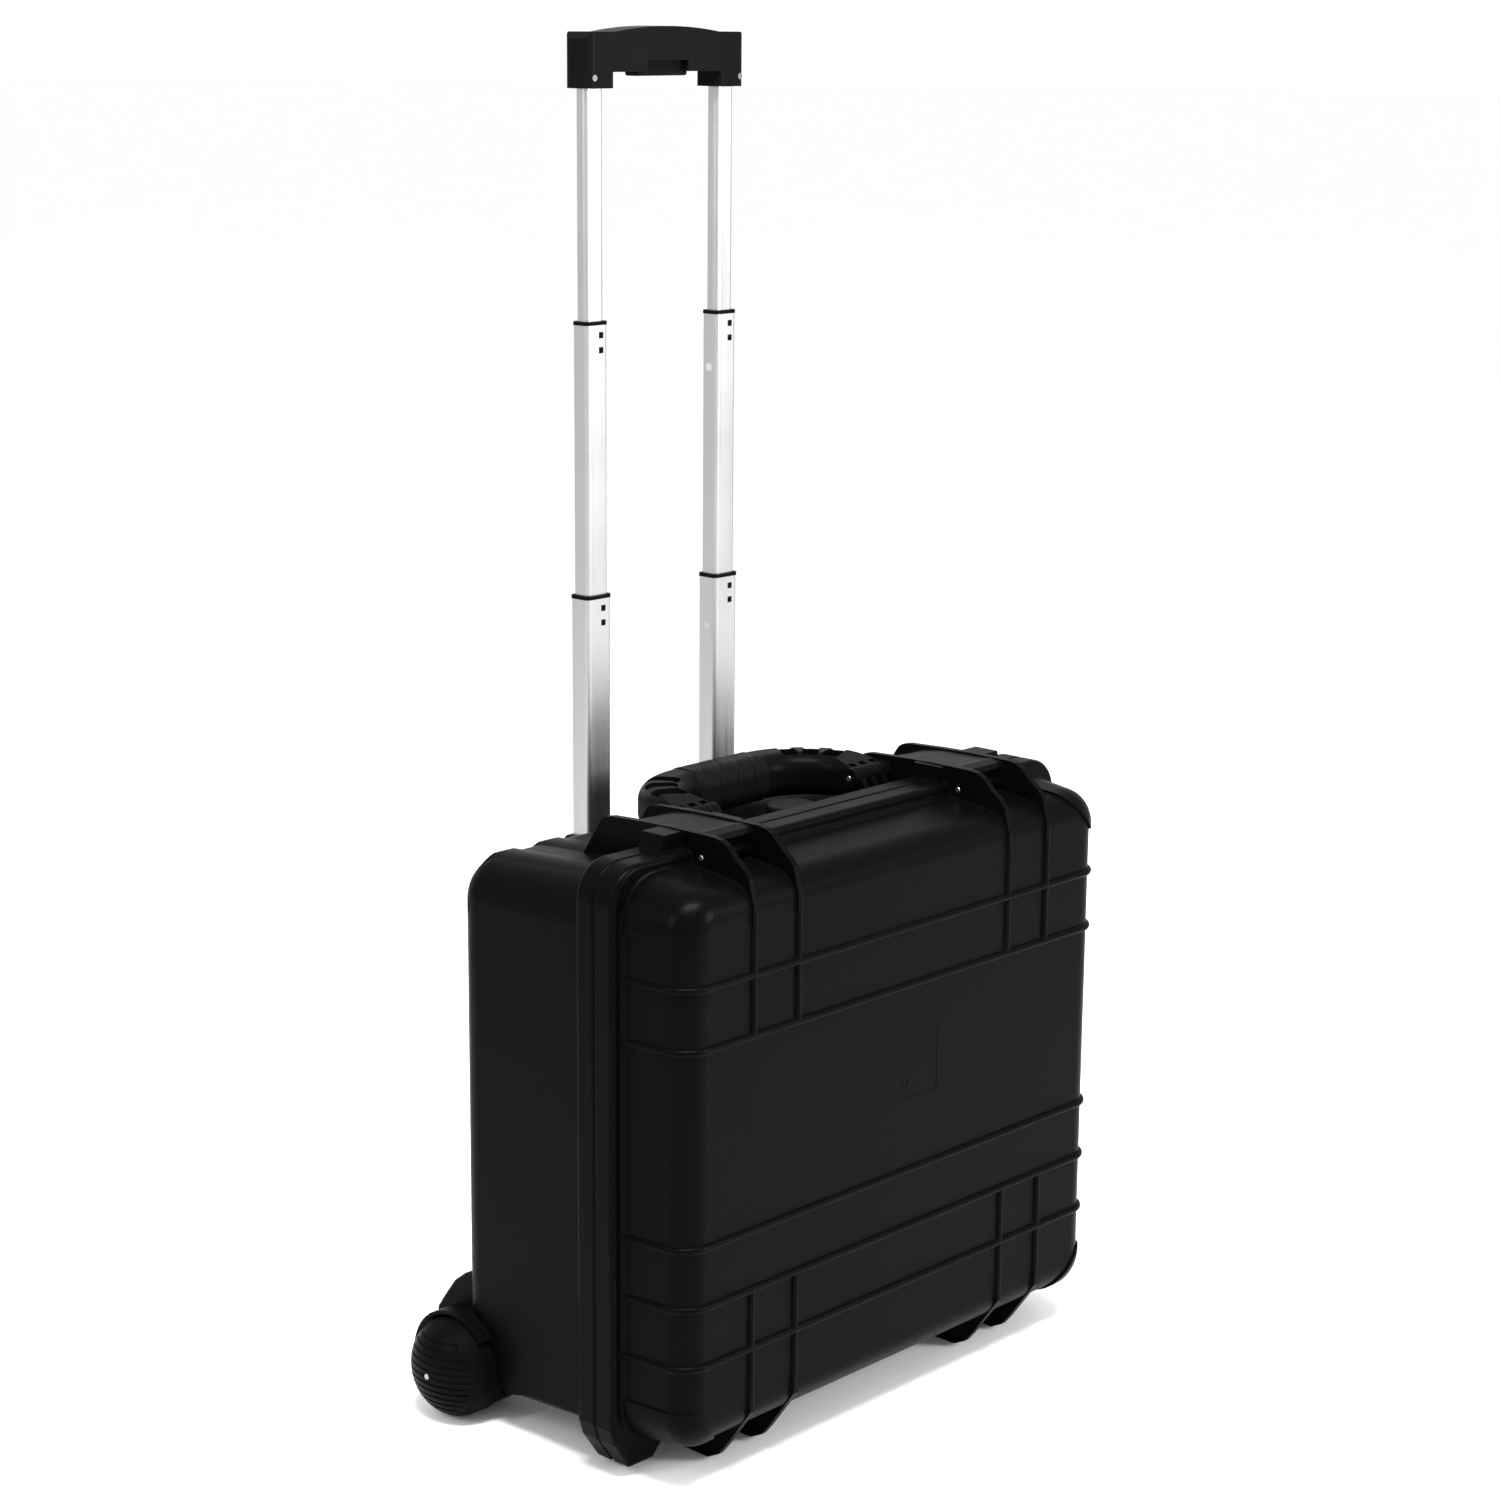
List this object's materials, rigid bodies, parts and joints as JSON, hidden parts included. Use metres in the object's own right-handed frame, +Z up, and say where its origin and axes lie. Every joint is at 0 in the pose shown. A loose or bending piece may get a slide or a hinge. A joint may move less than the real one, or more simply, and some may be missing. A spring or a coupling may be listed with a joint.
{
  "type": "hard equipment case",
  "caption": "Hard moulded trolley case with ribbed hinged lid, lever latches, folding carry handle, telescopic pull handle and wheels.",
  "frame": {"origin": "centre of the bounding box at floor level, the case standing on its hinge side with the handle extended", "axes": "+Z up along the telescopic handle, -Y out of the lid's front, +X to the right seen from the front"},
  "size_m": [0.5866, 0.2958, 1.097],
  "materials": {
    "shell": "fine moulded texture, satin sheen",
    "seal": "soft matt",
    "latch": "satin",
    "pin_steel": "bright",
    "grip_rubber": "matt, wrapped grooves",
    "handle_plastic": "satin",
    "valve_plastic": "satin",
    "tube_aluminium": "satin anodised",
    "collar_plastic": "satin",
    "lock_plastic": "satin",
    "trolley_grip_plastic": "satin",
    "button_plastic": "matt",
    "release_steel": "plain",
    "screw_steel": "blackened",
    "trolley_plastic": "satin",
    "bracket_plastic": "satin",
    "axle_steel": "plain",
    "tyre_rubber": "matt",
    "hub_plastic": "satin"
  },
  "bodies": {
    "case": {"base_shell": "shell", "hinge_pins": "pin_steel", "strike_bars": "pin_steel", "valve_body": "valve_plastic", "handle_bracket_left": "handle_plastic", "handle_bracket_right": "handle_plastic", "handle_pins": "pin_steel", "trolley_cover": "trolley_plastic", "trolley_top_block": "trolley_plastic", "trolley_foot_block": "trolley_plastic", "trolley_sleeve_left": "tube_aluminium", "trolley_sleeve_right": "tube_aluminium", "cover_screws": "screw_steel", "wheel_bracket_left": "bracket_plastic", "wheel_bracket_right": "bracket_plastic", "bracket_screws": "screw_steel", "axle_left": "axle_steel", "axle_right": "axle_steel", "wheel_washer_left": "axle_steel", "wheel_washer_right": "axle_steel"},
    "lid": {"lid_shell": "shell", "seal_ring": "seal", "latch_pins": "pin_steel"},
    "latch_left": {"latch_left": "latch"},
    "latch_right": {"latch_right": "latch"},
    "carry_handle": {"carry_handle_frame": "handle_plastic", "carry_handle_grip": "grip_rubber"},
    "valve_knob": {"valve_knob": "valve_plastic"},
    "stage_lower": {"lower_tube_left": "tube_aluminium", "lower_tube_right": "tube_aluminium", "lower_collar_left": "collar_plastic", "lower_collar_right": "collar_plastic", "lower_guide_tabs": "collar_plastic", "lower_lock_buttons": "lock_plastic"},
    "stage_middle": {"middle_tube_left": "tube_aluminium", "middle_tube_right": "tube_aluminium", "middle_collar_left": "collar_plastic", "middle_collar_right": "collar_plastic", "middle_guide_tabs": "collar_plastic", "middle_lock_buttons": "lock_plastic"},
    "stage_inner": {"inner_tube_left": "tube_aluminium", "inner_tube_right": "tube_aluminium", "trolley_grip": "trolley_grip_plastic", "grip_screws": "screw_steel"},
    "release": {"release_button": "button_plastic", "release_link": "release_steel", "release_rods": "release_steel"},
    "wheel_left": {"tyre_left": "tyre_rubber", "hub_left": "hub_plastic", "wheel_cap_left": "hub_plastic"},
    "wheel_right": {"tyre_right": "tyre_rubber", "hub_right": "hub_plastic", "wheel_cap_right": "hub_plastic"}
  },
  "joints": [
    {"name": "lid_hinge", "type": "hinge", "parent": "case", "child": "lid", "pos_m": [0, -0.0637, 0.0065], "axis": [1, 0, 0], "range_deg": [0, 105]},
    {"name": "latch_left_pivot", "type": "hinge", "parent": "lid", "child": "latch_left", "pos_m": [-0.153, -0.0927, 0.4855], "axis": [1, 0, 0], "range_deg": [0, 75]},
    {"name": "latch_right_pivot", "type": "hinge", "parent": "lid", "child": "latch_right", "pos_m": [0.153, -0.0927, 0.4855], "axis": [1, 0, 0], "range_deg": [0, 75]},
    {"name": "carry_handle_pivot", "type": "hinge", "parent": "case", "child": "carry_handle", "pos_m": [0, -0.0117, 0.489], "axis": [1, 0, 0], "range_deg": [0, 90]},
    {"name": "valve_turn", "type": "hinge", "parent": "case", "child": "valve_knob", "pos_m": [0, -0.0217, 0.479], "axis": [0, 0, 1], "range_deg": [0, 180]},
    {"name": "lower_stage_slide", "type": "slide", "parent": "case", "child": "stage_lower", "axis": [0, 0, 1], "range_m": [-0.197, 0]},
    {"name": "middle_stage_slide", "type": "slide", "parent": "stage_lower", "child": "stage_middle", "axis": [0, 0, 1], "range_m": [-0.216, 0]},
    {"name": "inner_stage_slide", "type": "slide", "parent": "stage_middle", "child": "stage_inner", "axis": [0, 0, 1], "range_m": [-0.178, 0]},
    {"name": "release_press", "type": "slide", "parent": "stage_inner", "child": "release", "axis": [0, 0, 1], "range_m": [0, 0.003], "stiffness_N_per_m": 1200, "springref_m": -0.002},
    {"name": "wheel_left_spin", "type": "hinge", "parent": "case", "child": "wheel_left", "pos_m": [-0.262, 0.1021, 0.0409], "axis": [1, 0, 0], "continuous": true},
    {"name": "wheel_right_spin", "type": "hinge", "parent": "case", "child": "wheel_right", "pos_m": [0.262, 0.1021, 0.0409], "axis": [1, 0, 0], "continuous": true}
  ]
}
